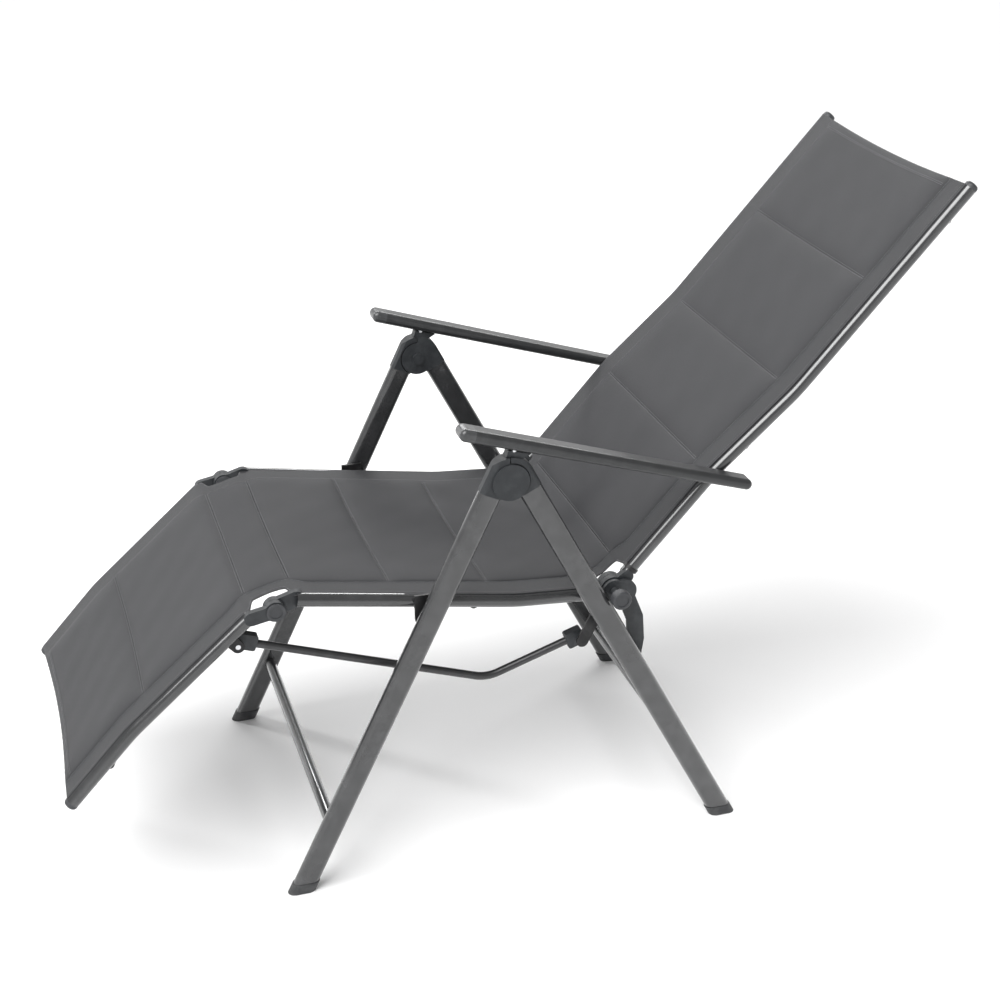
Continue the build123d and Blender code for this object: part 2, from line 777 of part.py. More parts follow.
os.makedirs("parts", exist_ok=True)
for name, piece in pieces.items():
    export_step(Pos(0, -centre_y, -floor_z) * piece, f"parts/{name}.step")
print("centre_y", round(centre_y, 3), "floor_z", round(floor_z, 4))
print("size", [round(v, 1) for v in whole.size])
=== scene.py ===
import math

import bpy
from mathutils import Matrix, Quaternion, Vector


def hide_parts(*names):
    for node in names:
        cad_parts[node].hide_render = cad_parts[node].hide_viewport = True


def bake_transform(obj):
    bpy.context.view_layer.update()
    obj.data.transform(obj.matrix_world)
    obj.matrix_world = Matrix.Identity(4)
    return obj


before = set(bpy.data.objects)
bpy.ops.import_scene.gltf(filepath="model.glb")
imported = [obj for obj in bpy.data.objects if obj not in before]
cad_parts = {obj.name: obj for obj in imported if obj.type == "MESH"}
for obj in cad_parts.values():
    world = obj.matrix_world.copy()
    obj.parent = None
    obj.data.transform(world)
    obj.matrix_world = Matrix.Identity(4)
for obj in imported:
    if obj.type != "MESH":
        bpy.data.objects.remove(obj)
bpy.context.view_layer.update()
print("frame loaded", len(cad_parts), "nodes")

# side-view points below are (y, z) in millimetres, measured from the front foot
footToOrigin = 411.508


def place(x, y, z):
    return Vector((x / 1000, (y - footToOrigin) / 1000, z / 1000))


def newNode(tree, kind, at=(0, 0), **values):
    node = tree.nodes.new(kind)
    node.location = at
    for key, value in values.items():
        if hasattr(node, key):
            setattr(node, key, value)
        else:
            node.inputs[key].default_value = value
    return node


def newGroup(name, inputs, outputs):
    # inputs are name: starting value; outputs are name: socket type
    group = bpy.data.node_groups.new(name, "ShaderNodeTree")
    for label, value in inputs.items():
        kind = "NodeSocketColor" if isinstance(value, tuple) else "NodeSocketFloat"
        socket = group.interface.new_socket(name=label, in_out="INPUT", socket_type=kind)
        socket.default_value = value
    for label, kind in outputs.items():
        group.interface.new_socket(name=label, in_out="OUTPUT", socket_type=kind)
    start = newNode(group, "NodeGroupInput", (-900, 0))
    end = newNode(group, "NodeGroupOutput", (900, 0))
    return group, start, end


def link(tree, source, target):
    tree.links.new(source, target)


def mathNode(tree, operation, first, second=None, at=(0, 0), clamp=False):
    node = newNode(tree, "ShaderNodeMath", at, operation=operation, use_clamp=clamp)
    for index, value in enumerate((first, second)):
        if value is None:
            continue
        if isinstance(value, (int, float)):
            node.inputs[index].default_value = value
        else:
            link(tree, value, node.inputs[index])
    return node.outputs[0]


def rangeNode(tree, value, low, high, at=(0, 0)):
    # 0 at the low value and 1 at the high one
    node = newNode(tree, "ShaderNodeMapRange", at)
    node.inputs["From Min"].default_value = low
    node.inputs["From Max"].default_value = high
    link(tree, value, node.inputs["Value"])
    return node.outputs[0]


def noiseNode(tree, at, **values):
    coords = newNode(tree, "ShaderNodeTexCoord", (at[0] - 300, at[1]))
    node = newNode(tree, "ShaderNodeTexNoise", at, **values)
    link(tree, coords.outputs["Object"], node.inputs["Vector"])
    return node


def mixColour(tree, factor, first, second, at=(0, 0)):
    node = newNode(tree, "ShaderNodeMix", at, data_type="RGBA")
    for index, source in ((0, factor), (6, first), (7, second)):
        link(tree, source, node.inputs[index])
    return node.outputs[2]


def driftTone(tree, scale, amount, at, **values):
    # a slow change of tone about 1
    broad = noiseNode(tree, at, Scale=scale, **values)
    centred = mathNode(tree, "SUBTRACT", broad.outputs["Fac"], 0.5, (at[0] + 250, at[1]))
    drift = mathNode(tree, "MULTIPLY", centred, amount, (at[0] + 450, at[1]))
    return mathNode(tree, "ADD", drift, 1.0, (at[0] + 650, at[1]))


def shadeBy(tree, colour, tone, at):
    node = newNode(tree, "ShaderNodeVectorMath", at, operation="SCALE")
    link(tree, colour, node.inputs[0])
    link(tree, tone, node.inputs["Scale"])
    return node.outputs[0]


effectSpans = {
    # low and high end of each change: rubbed corners, broken up by noise
    "corner": (0.52, 0.62), "broken": (0.42, 0.66),
    # which yarn lies on top, and how high a yarn stands out of the gaps, which are painted in shade
    "over": (-0.25, 0.25), "yarn": (0.05, 0.45),
}


def makeOrangePeel():
    # the faint pebbling and tone drift of baked powder paint
    group, start, end = newGroup(
        "orangePeel",
        {"Colour": (0.1, 0.1, 0.1, 1), "Pebble Size": 900.0, "Drift": 0.12, "Height": 0.1},
        {"Colour": "NodeSocketColor", "Height": "NodeSocketFloat", "Tone": "NodeSocketFloat"})
    fine = noiseNode(group, (-600, 100), Detail=2.0, Roughness=0.5)
    link(group, start.outputs["Pebble Size"], fine.inputs["Scale"])
    tone = driftTone(group, 7.0, start.outputs["Drift"], (-600, -200), Detail=3.0)
    height = mathNode(group, "MULTIPLY", fine.outputs["Fac"], start.outputs["Height"], (300, 200))
    link(group, shadeBy(group, start.outputs["Colour"], tone, (300, 0)), end.inputs["Colour"])
    link(group, height, end.inputs["Height"])
    link(group, tone, end.inputs["Tone"])
    return group


def makeEdgeWear():
    # paler where corners have been rubbed, broken up by noise
    group, start, end = newGroup(
        "edgeWear",
        {"Colour": (0.1, 0.1, 0.1, 1), "Worn": (0.3, 0.3, 0.3, 1), "Amount": 0.5},
        {"Colour": "NodeSocketColor", "Mask": "NodeSocketFloat"})
    geometry = newNode(group, "ShaderNodeNewGeometry", (-900, -300))
    pointed = geometry.outputs["Pointiness"]
    corners = rangeNode(group, pointed, *effectSpans["corner"], (-600, -300))
    patches = noiseNode(group, (-600, -600), Scale=45.0, Detail=5.0, Roughness=0.65)
    broken = rangeNode(group, patches.outputs["Fac"], *effectSpans["broken"], (-350, -600))
    both = mathNode(group, "MULTIPLY", corners, broken, (-100, -400))
    mask = mathNode(group, "MULTIPLY", both, start.outputs["Amount"], (100, -400), True)
    shade = mixColour(group, mask, start.outputs["Colour"], start.outputs["Worn"], (400, 0))
    link(group, shade, end.inputs["Colour"])
    link(group, mask, end.inputs["Mask"])
    return group


def makeDust():
    # light dust that settles on faces that look up
    group, start, end = newGroup(
        "settledDust",
        {"Colour": (0.1, 0.1, 0.1, 1), "Dust": (0.35, 0.34, 0.32, 1), "Amount": 0.06},
        {"Colour": "NodeSocketColor", "Mask": "NodeSocketFloat"})
    geometry = newNode(group, "ShaderNodeNewGeometry", (-900, -300))
    split = newNode(group, "ShaderNodeSeparateXYZ", (-700, -300))
    link(group, geometry.outputs["Normal"], split.inputs[0])
    upward = mathNode(group, "MAXIMUM", split.outputs["Z"], 0.0, (-500, -300))
    patches = noiseNode(group, (-600, -600), Scale=14.0, Detail=6.0, Roughness=0.7)
    patchy = mathNode(group, "MULTIPLY", upward, patches.outputs["Fac"], (-300, -400))
    mask = mathNode(group, "MULTIPLY", patchy, start.outputs["Amount"], (-100, -400), True)
    shade = mixColour(group, mask, start.outputs["Colour"], start.outputs["Dust"], (400, 0))
    link(group, shade, end.inputs["Colour"])
    link(group, mask, end.inputs["Mask"])
    return group


def makeWeave():
    # coated yarns, over and under, laid along and across the sling, with painted shade in the low gaps
    # between them
    group, start, end = newGroup(
        "slingWeave",
        {"Colour": (0.1, 0.1, 0.1, 1), "Gap": (0.03, 0.03, 0.03, 1), "Yarns Per Metre": 700.0,
         "Drift": 0.1},
        {"Colour": "NodeSocketColor", "Height": "NodeSocketFloat", "Mask": "NodeSocketFloat"})
    along = newNode(group, "ShaderNodeAttribute", (-1300, 200), attribute_name="along")
    across = newNode(group, "ShaderNodeAttribute", (-1300, -200), attribute_name="across")
    yarnTurns = mathNode(group, "MULTIPLY", start.outputs["Yarns Per Metre"], math.pi, (-1300, 0))

    def ridges(source, row):
        turned = mathNode(group, "MULTIPLY", source.outputs["Fac"], yarnTurns, (-1100, row))
        wave = mathNode(group, "SINE", turned, None, (-900, row))
        return wave, mathNode(group, "ABSOLUTE", wave, None, (-700, row))

    waveA, ridgeA = ridges(along, 200)
    waveB, ridgeB = ridges(across, -200)
    checker = mathNode(group, "MULTIPLY", waveA, waveB, (-500, 0))
    over = rangeNode(group, checker, *effectSpans["over"], (-300, 0))
    mix = newNode(group, "ShaderNodeMix", (-100, 0), data_type="FLOAT")
    link(group, over, mix.inputs[0])
    link(group, ridgeA, mix.inputs[2])
    link(group, ridgeB, mix.inputs[3])
    crown = mathNode(group, "MULTIPLY", ridgeA, ridgeB, (-100, -300))
    height = mathNode(group, "ADD", mix.outputs[0], crown, (100, -100))
    half = mathNode(group, "MULTIPLY", height, 0.5, (250, -100))
    tone = driftTone(group, 9.0, start.outputs["Drift"], (-600, -700), Detail=4.0, Roughness=0.6)
    shade = shadeBy(group, start.outputs["Colour"], tone, (300, -500))
    # low parts of the weave take the darker gap colour, which is painted shade between the yarns
    yarn = rangeNode(group, half, *effectSpans["yarn"], (300, -250))
    colour = mixColour(group, yarn, start.outputs["Gap"], shade, (550, 0))
    link(group, colour, end.inputs["Colour"])
    link(group, half, end.inputs["Height"])
    link(group, yarn, end.inputs["Mask"])
    return group


def makeScuffs():
    # hair scratches in turned or plated metal
    group, start, end = newGroup(
        "hairScuffs", {"Roughness": 0.2, "Spread": 0.15, "Density": 60.0},
        {"Roughness": "NodeSocketFloat", "Height": "NodeSocketFloat"})
    coords = newNode(group, "ShaderNodeTexCoord", (-900, -300))
    stretch = newNode(group, "ShaderNodeMapping", (-700, -300))
    stretch.inputs["Scale"].default_value = (1.0, 9.0, 9.0)
    link(group, coords.outputs["Object"], stretch.inputs["Vector"])
    lines = newNode(group, "ShaderNodeTexNoise", (-450, -300), Detail=6.0, Roughness=0.75)
    link(group, stretch.outputs[0], lines.inputs["Vector"])
    link(group, start.outputs["Density"], lines.inputs["Scale"])
    spread = mathNode(group, "MULTIPLY", lines.outputs["Fac"], start.outputs["Spread"], (-200, -300))
    rough = mathNode(group, "ADD", start.outputs["Roughness"], spread, (0, -200), True)
    link(group, rough, end.inputs["Roughness"])
    link(group, lines.outputs["Fac"], end.inputs["Height"])
    return group


effects = {
    "peel": makeOrangePeel(), "wear": makeEdgeWear(), "dust": makeDust(),
    "weave": makeWeave(), "scuffs": makeScuffs(),
}


def useGroup(tree, name, at, **values):
    node = newNode(tree, "ShaderNodeGroup", at)
    node.node_tree = effects[name]
    for label, value in values.items():
        node.inputs[label.replace("_", " ")].default_value = value
    return node


def startMaterial(name, settings):
    material = bpy.data.materials.new(name)
    material.use_nodes = True
    tree = material.node_tree
    shader = tree.nodes["Principled BSDF"]
    shader.location = (900, 0)
    for label, value in settings.items():
        shader.inputs[label].default_value = value
    return material, tree, shader


def joinNormal(tree, shader, height, strength, distance):
    bump = newNode(tree, "ShaderNodeBump", (600, -300))
    bump.inputs["Strength"].default_value = strength
    bump.inputs["Distance"].default_value = distance
    link(tree, height, bump.inputs["Height"])
    link(tree, bump.outputs[0], shader.inputs["Normal"])


# how much rougher full dust makes a surface
dustRoughness = 0.8


def paintedMaterial(name, look):
    material, tree, shader = startMaterial(name, look["shader"])
    peel = useGroup(tree, "peel", (-500, 0), Colour=look["colour"], Pebble_Size=look["pebbles"],
                    Drift=look["drift"], Height=1.0)
    wear = useGroup(tree, "wear", (-200, 0), Worn=look["worn"], Amount=look["wear"])
    dust = useGroup(tree, "dust", (100, 0), Amount=look["dust"])
    link(tree, peel.outputs["Colour"], wear.inputs["Colour"])
    link(tree, wear.outputs["Colour"], dust.inputs["Colour"])
    link(tree, dust.outputs["Colour"], shader.inputs["Base Color"])
    grip = mathNode(tree, "MULTIPLY", dust.outputs["Mask"], dustRoughness, (400, -150))
    worn = mathNode(tree, "MULTIPLY", peel.outputs["Tone"], look["roughness"], (400, -50))
    rough = mathNode(tree, "ADD", worn, grip, (600, -100), True)
    link(tree, rough, shader.inputs["Roughness"])
    joinNormal(tree, shader, peel.outputs["Height"], look["bump"], look["bumpDepth"])
    return material


def metalMaterial(name, look):
    material, tree, shader = startMaterial(name, look["shader"])
    scuffs = useGroup(tree, "scuffs", (-200, 0), Roughness=look["roughness"], Spread=look["spread"],
                      Density=look["density"])
    dust = useGroup(tree, "dust", (-200, 300), Colour=look["colour"], Amount=look["dust"])
    link(tree, dust.outputs["Colour"], shader.inputs["Base Color"])
    link(tree, scuffs.outputs["Roughness"], shader.inputs["Roughness"])
    joinNormal(tree, shader, scuffs.outputs["Height"], look["bump"], look["bumpDepth"])
    return material


def fabricMaterial(name, look):
    material, tree, shader = startMaterial(name, look["shader"])
    # the weave paints shade into the gaps between the yarns
    weave = useGroup(tree, "weave", (-400, 0), Colour=look["colour"], Gap=look["gap"],
                     Yarns_Per_Metre=look["yarns"], Drift=look["drift"])
    dust = useGroup(tree, "dust", (0, 0), Amount=look["dust"])
    link(tree, weave.outputs["Colour"], dust.inputs["Colour"])
    link(tree, dust.outputs["Colour"], shader.inputs["Base Color"])
    rough = mathNode(tree, "MULTIPLY", weave.outputs["Mask"], -look["shine"], (200, -200))
    total = mathNode(tree, "ADD", rough, look["roughness"], (400, -200), True)
    link(tree, total, shader.inputs["Roughness"])
    joinNormal(tree, shader, weave.outputs["Height"], look["bump"], look["bumpDepth"])
    return material


looks = {
    "tubePaint": {
        "colour": (0.033, 0.0339, 0.0354, 1), "worn": (0.2, 0.2, 0.21, 1), "wear": 0.12, "dust": 0.03,
        "pebbles": 1400.0, "drift": 0.16, "roughness": 0.27, "bump": 0.1, "bumpDepth": 0.0004,
        "shader": {"Metallic": 0.35, "Coat Weight": 1.0, "Coat Roughness": 0.05, "Coat IOR": 1.58},
    },
    "rodPaint": {
        "colour": (0.044, 0.0443, 0.046, 1), "worn": (0.2, 0.2, 0.21, 1), "wear": 0.2, "dust": 0.04,
        "pebbles": 1100.0, "drift": 0.2, "roughness": 0.32, "bump": 0.15, "bumpDepth": 0.0004,
        "shader": {"Metallic": 0.5, "Coat Weight": 0.2, "Coat Roughness": 0.25},
    },
    "armrestPaint": {
        "colour": (0.028, 0.029, 0.0304, 1), "worn": (0.15, 0.15, 0.16, 1), "wear": 0.15, "dust": 0.04,
        "pebbles": 1500.0, "drift": 0.14, "roughness": 0.36, "bump": 0.14, "bumpDepth": 0.0004,
        "shader": {"Metallic": 0.3, "Coat Weight": 0.35, "Coat Roughness": 0.12},
    },
    "headPlastic": {
        "colour": (0.018, 0.0205, 0.0235, 1), "worn": (0.07, 0.075, 0.08, 1), "wear": 0.35, "dust": 0.06,
        "pebbles": 2200.0, "drift": 0.15, "roughness": 0.5, "bump": 0.25, "bumpDepth": 0.0003,
        "shader": {"Metallic": 0.0, "Specular IOR Level": 0.45},
    },
    "footPlastic": {
        "colour": (0.036, 0.0375, 0.04, 1), "worn": (0.12, 0.12, 0.12, 1), "wear": 0.4, "dust": 0.1,
        "pebbles": 1800.0, "drift": 0.2, "roughness": 0.55, "bump": 0.3, "bumpDepth": 0.0004,
        "shader": {"Metallic": 0.0, "Specular IOR Level": 0.4},
    },
    "capPlastic": {
        "colour": (0.036, 0.038, 0.042, 1), "worn": (0.12, 0.12, 0.13, 1), "wear": 0.35, "dust": 0.05,
        "pebbles": 1500.0, "drift": 0.15, "roughness": 0.46, "bump": 0.3, "bumpDepth": 0.0004,
        "shader": {"Metallic": 0.0, "Specular IOR Level": 0.5},
    },
    "blackSteel": {
        "colour": (0.009, 0.009, 0.01, 1), "worn": (0.08, 0.08, 0.08, 1), "wear": 0.3, "dust": 0.08,
        "pebbles": 1300.0, "drift": 0.25, "roughness": 0.4, "bump": 0.2, "bumpDepth": 0.0004,
        "shader": {"Metallic": 0.3, "Specular IOR Level": 0.5},
    },
    "platedSteel": {
        "colour": (0.72, 0.73, 0.75, 1), "dust": 0.05, "roughness": 0.16, "spread": 0.22,
        "density": 70.0, "bump": 0.08, "bumpDepth": 0.0002, "shader": {"Metallic": 1.0},
    },
    "slingCloth": {
        # gap is a painted shade colour for the hollows between the yarns
        "colour": (0.0465, 0.047, 0.0505, 1), "gap": (0.0205, 0.0209, 0.0226, 1), "yarns": 720.0,
        "drift": 0.14, "dust": 0.03, "roughness": 0.68, "shine": 0.12, "bump": 0.35,
        "bumpDepth": 0.0005, "shader": {"Sheen Weight": 0.03, "Sheen Roughness": 0.4,
                                        "Specular IOR Level": 0.2},
    },
    "hemCloth": {
        # gap is a painted shade colour for the hollows between the yarns
        "colour": (0.044, 0.0447, 0.048, 1), "gap": (0.0193, 0.0198, 0.0213, 1), "yarns": 720.0,
        "drift": 0.14, "dust": 0.03, "roughness": 0.66, "shine": 0.14, "bump": 0.4,
        "bumpDepth": 0.0005, "shader": {"Sheen Weight": 0.03, "Sheen Roughness": 0.4,
                                        "Specular IOR Level": 0.25},
    },
    "armrestPlug": {
        "colour": (0.042, 0.0435, 0.0455, 1), "worn": (0.14, 0.14, 0.15, 1), "wear": 0.2, "dust": 0.04,
        "pebbles": 2000.0, "drift": 0.1, "roughness": 0.34, "bump": 0.1, "bumpDepth": 0.0003,
        "shader": {"Metallic": 0.0, "Specular IOR Level": 0.5, "Coat Weight": 0.3,
                   "Coat Roughness": 0.2},
    },
    "thread": {
        "colour": (0.085, 0.087, 0.092, 1), "worn": (0.2, 0.2, 0.2, 1), "wear": 0.0, "dust": 0.02,
        "pebbles": 2600.0, "drift": 0.3, "roughness": 0.55, "bump": 0.5, "bumpDepth": 0.0003,
        "shader": {"Metallic": 0.0, "Sheen Weight": 0.2},
    },
    "floorPaint": {
        "colour": (0.92, 0.92, 0.92, 1), "worn": (0.92, 0.92, 0.92, 1), "wear": 0.0, "dust": 0.0,
        "pebbles": 60.0, "drift": 0.01, "roughness": 0.8, "bump": 0.02, "bumpDepth": 0.0002,
        "shader": {"Metallic": 0.0, "Specular IOR Level": 0.2},
    },
}

materials = {}
for name, look in looks.items():
    if "yarns" in look:
        materials[name] = fabricMaterial(name, look)
    elif "spread" in look:
        materials[name] = metalMaterial(name, look)
    else:
        materials[name] = paintedMaterial(name, look)
print("materials made", len(materials))

finishOf = {
    "leg_": "tubePaint", "rail_": "tubePaint", "crossbar": "tubePaint", "_bar": "tubePaint",
    "footrest_rod": "rodPaint", "armrest_tip": "armrestPlug",
    "armrest_left": "armrestPaint", "armrest_right": "armrestPaint",
    "_feet": "footPlastic", "_head_": "headPlastic", "catch_blocks": "headPlastic",
    "end_caps": "capPlastic", "hinge_caps": "capPlastic", "knee_pins": "capPlastic",
    "_eyes": "headPlastic", "fold_link": "headPlastic", "hinge_bushes": "headPlastic",
    "rod_front_blocks": "headPlastic", "rod_rear_blocks": "headPlastic",
    "ratchet": "blackSteel", "brackets": "blackSteel", "collars": "blackSteel",
    "levers": "blackSteel", "lugs": "blackSteel",
    "head_bolts": "headPlastic", "catch_pins": "platedSteel", "seat_pins": "platedSteel",
    "rear_hinge_pins": "platedSteel", "link_rivets": "platedSteel", "armrest_rivets": "platedSteel",
    "rod_front_pins": "platedSteel", "rod_rear_pins": "platedSteel",
}
# small rounding on moulded and stamped edges, in metres
edgeRound = {
    "_head_": 0.0012, "_feet": 0.001, "catch_blocks": 0.001, "blocks": 0.0012, "levers": 0.0006,
    "brackets": 0.0006, "lugs": 0.0006, "fold_link": 0.001, "_eyes": 0.001, "knee_pins": 0.0009,
    "collars": 0.0008, "rod_rear_pins": 0.0005, "head_bolts": 0.0008,
}
# edges sharper than this many degrees are rounded
sharpAngle = 38
edgeSegments = 2


def findFor(name, choices):
    for key, value in choices.items():
        if key in name:
            return value
    return None


for name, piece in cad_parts.items():
    finish = findFor(name, finishOf) or "headPlastic"
    for slotIndex in range(max(1, len(piece.material_slots))):
        if not piece.material_slots:
            piece.data.materials.append(materials[finish])
        piece.material_slots[slotIndex].material = materials[finish]
    rounding = findFor(name, edgeRound)
    if rounding:
        bevel = piece.modifiers.new("softEdges", "BEVEL")
        bevel.width = rounding
        bevel.segments = edgeSegments
        bevel.limit_method = "ANGLE"
        bevel.angle_limit = math.radians(sharpAngle)
        bevel.harden_normals = False
print("carried-over parts finished")

sling = {
    # side-view line of the sewn seams, foot hem to head hem, and how round each corner is
    "line": [(-320.5, 231.0), (-222.5, 338.0), (-30.5, 507.0), (41.0, 527.5), (400.0, 471.5),
             (549.0, 461.0), (579.0, 489.5), (721.0, 648.0), (856.0, 769.5), (1128.0, 1074.0)],
    "corner": [0, 320, 45, 110, 320, 42, 60, 320, 320, 0],
    "halfWidth": 243.0,
    "seamAt": 200.0,
    "puffTop": 6.2, "puffUnder": 4.2, "cloth": 1.8,
    # how far inside the side and cross seams a panel is full, and the length of a full panel
    "sidePuff": 44.0, "crossPuff": 32.0, "fullPanel": 95,
    # uneven filling: how deep, and its turns per millimetre
    "uneven": 0.07, "unevenTurns": (0.071, 0.017, 0.043, 0.013),
    # the border lies over the crest of the rail
    "railCentre": 241.0, "railRadius": 11.0, "sag": 6.0,
    # how far the hems curve in, and how soon that fades
    "scoop": 7.0, "scoopFade": 45,
    # cut-outs beside the knee and the rear hinge: side-view y of both ends, and how far in
    "cutouts": [(-24.0, 50.0, 31.0), (524.0, 586.0, 31.0)],
    "cutEase": 13, "cutBow": 5,
    # beside a cut-out the side seam moves in, and starts to before it
    "seamPull": 13, "seamLead": 30, "seamEase": 40,
    "crossSeams": [-186.0, -21.0, 49.0, 203.5, 363.0, 579.0, 718.0, 852.0, 991.0],
    "kneeMiddle": 14.0,
    # small puckers: height, fade from the cross and side seams, and turns per millimetre
    "ripple": 0.35, "crossFade": 9, "sideFade": 8, "endFade": 20,
    "acrossTurn": 0.37, "alongTurn": 0.41,
    # spacing of the mesh, and the extra rows on each side of a seam
    "step": 7.5, "closest": 0.55, "pathStep": 2.0,
    "seamRows": (-15, -10, -6.5, -4, -2.2, -0.9, 0, 0.9, 2.2, 4, 6.5, 10, 15),
}
arcSteps = 8
# an arc takes up at most this share of the straight run beside it
arcShare = 0.48


def roundedLine(points, radii, spacing):
    # straight runs joined by arcs, as evenly spaced (y, z) points
    dense = []
    for index, point in enumerate(points):
        here = Vector(point)
        if index in (0, len(points) - 1) or radii[index] == 0:
            dense.append(here)
            continue
        before = Vector(points[index - 1]) - here
        after = Vector(points[index + 1]) - here
        half = before.angle(after) / 2
        reach = min(radii[index] / math.tan(half), before.length * arcShare, after.length * arcShare)
        begin, finish = here + before.normalized() * reach, here + after.normalized() * reach
        for count in range(arcSteps + 1):
            share = count / arcSteps
            dense.append(begin.lerp(here, share).lerp(here.lerp(finish, share), share))
    path = [dense[0]]
    for start, end in zip(dense, dense[1:]):
        pieces = max(1, int((end - start).length / spacing))
        path.extend(start.lerp(end, (count + 1) / pieces) for count in range(pieces))
    return path


class SlingLine:
    # distance along the sling against its side-view place
    def __init__(self, path):
        self.path = path
        self.at = [0.0]
        for start, end in zip(path, path[1:]):
            self.at.append(self.at[-1] + (end - start).length)

    def sample(self, distance):
        low, high = 0, len(self.at) - 1
        while high - low > 1:
            middle = (low + high) // 2
            if self.at[middle] <= distance:
                low = middle
            else:
                high = middle
        share = (distance - self.at[low]) / max(1e-9, self.at[high] - self.at[low])
        return self.path[low].lerp(self.path[high], share)

    def tangent(self, distance):
        reach = 2 * sling["pathStep"]
        ahead = self.sample(min(self.at[-1], distance + reach))
        behind = self.sample(max(0.0, distance - reach))
        return (ahead - behind).normalized()

    def whereY(self, y):
        for index, point in enumerate(self.path):
            if point.x >= y:
                before = self.path[max(0, index - 1)]
                share = 0 if point.x == before.x else (y - before.x) / (point.x - before.x)
                return self.at[max(0, index - 1)] + share * (point - before).length
        return self.at[-1]


slingLine = SlingLine(roundedLine(sling["line"], sling["corner"], sling["pathStep"]))
seamPlaces = [slingLine.whereY(y) for y in sling["crossSeams"]]
slingEnd = slingLine.at[-1]
cutPlaces = [(slingLine.whereY(a), slingLine.whereY(b), depth) for a, b, depth in sling["cutouts"]]


def smooth(value):
    value = max(0.0, min(1.0, value))
    return value * value * (3 - 2 * value)


def halfWidthAt(distance):
    width = sling["halfWidth"]
    for begin, finish, depth in cutPlaces:
        ease = sling["cutEase"]
        inside = min(smooth((distance - begin) / ease), smooth((finish - distance) / ease))
        middle = (distance - (begin + finish) / 2) / ((finish - begin) / 2)
        width -= inside * (depth - sling["cutBow"] * min(1.0, middle * middle))
    return width


def seamWidthAt(distance):
    width = sling["seamAt"]
    lead, ease = sling["seamLead"], sling["seamEase"]
    for begin, finish, depth in cutPlaces:
        inside = min(smooth((distance - begin + lead) / ease),
                     smooth((finish + lead - distance) / ease))
        width -= inside * sling["seamPull"]
    return width


def pillow(place, low, high, edge):
    # 0 on the seams, 1 a little way inside them
    reach = min(place - low, high - place)
    if reach <= 0:
        return 0.0
    soft = min(1.0, reach / min(edge, (high - low) / 2))
    return math.sqrt(max(0.0, 1 - (1 - soft) ** 2))


def borderTuck(x):
    # level with the crest of the tube, then down over its outer side
    past = max(0.0, x - sling["railCentre"])
    over = sling["railRadius"] + sling["cloth"] / 2
    return math.sqrt(over * over - past * past) - over


def clothOffset(x, distance, side, panelLow, panelHigh):
    # height of the cloth over the seam line; side is 1 on top and -1 underneath
    seam = seamWidthAt(distance)
    sag = -sling["sag"] * max(0.0, 1 - (x / seam) ** 2) if abs(x) < seam else 0.0
    puff = sling["puffTop"] if side > 0 else sling["puffUnder"]
    inside = pillow(x, -seam, seam, sling["sidePuff"])
    inside *= pillow(distance, panelLow, panelHigh, sling["crossPuff"])
    narrow = min(1.0, (panelHigh - panelLow) / sling["fullPanel"])
    turnA, turnB, turnC, turnD = sling["unevenTurns"]
    noise = math.sin(x * turnA + distance * turnB * side) * math.sin(distance * turnC + x * turnD)
    swell = puff * inside * narrow * (1 + sling["uneven"] * noise)
    nearSeam = math.exp(-min(distance - panelLow, panelHigh - distance) / sling["crossFade"])
    nearSeam *= smooth((seam - abs(x)) / sling["endFade"])
    nearSide = math.exp(-abs(abs(x) - seam) / sling["sideFade"])
    waves = nearSeam * math.sin(x * sling["acrossTurn"])
    waves += nearSide * math.sin(distance * sling["alongTurn"])
    lift = side * (sling["cloth"] / 2 + swell)
    return sag + borderTuck(abs(x)) + lift + sling["ripple"] * waves


def spread(low, high, marks, step):
    # sample places, close together beside each mark
    places = {round(low, 3), round(high, 3)}
    count = max(2, int((high - low) / step))
    for index in range(1, count):
        places.add(round(low + (high - low) * index / count, 3))
    for mark in marks:
        for gap in sling["seamRows"]:
            if low < mark + gap < high:
                places.add(round(mark + gap, 3))
    ordered = sorted(places)
    kept = [ordered[0]]
    for value in ordered[1:]:
        if value - kept[-1] > sling["closest"] or value == round(high, 3):
            kept.append(value)
    return kept


def sheetPoint(x, distance, side, low, high):
    spot = slingLine.sample(distance)
    run = slingLine.tangent(distance)
    lift = clothOffset(x, distance, side, low, high)
    end = min(distance, slingEnd - distance)
    pull = sling["scoop"] * math.exp(-end / sling["scoopFade"]) * (1 - (x / sling["halfWidth"]) ** 2)
    spot = spot + Vector((-run.y, run.x)) * lift + run * (pull if distance < slingEnd / 2 else -pull)
    return place(x, spot.x, spot.y)


# rows are also close together this far inside the ends of a cut-out
cutMark = 6


def panelRows(begin, finish):
    marks = [m for m in seamPlaces + [begin, finish] if begin - 1 <= m <= finish + 1]
    for low, high, depth in cutPlaces:
        marks += [low + cutMark, high - cutMark]
    return spread(begin, finish, [m for m in marks if begin <= m <= finish], sling["step"])


def boundsOfPanel(distance):
    edges = [0.0] + seamPlaces + [slingEnd]
    for low, high in zip(edges, edges[1:]):
        if low <= distance <= high:
            return low, high
    return edges[-2], edges[-1]


# places across the sling, as shares of the padded width and of the border
halfShares = (0.0, 0.04, 0.08, 0.12, 0.16, 0.2, 0.24, 0.28, 0.32, 0.36, 0.4, 0.44, 0.48, 0.52, 0.56,
              0.6, 0.64, 0.68, 0.72, 0.76, 0.8, 0.835, 0.865, 0.89, 0.91, 0.93, 0.95, 0.967, 0.98,
              0.99, 0.996)
seamShares = sorted({round(sign * share, 5) for sign in (-1, 1) for share in halfShares})
borderShares = [0.0, 0.03, 0.08, 0.16, 0.28, 0.42, 0.56, 0.7, 0.82, 0.9, 0.96, 1.0]


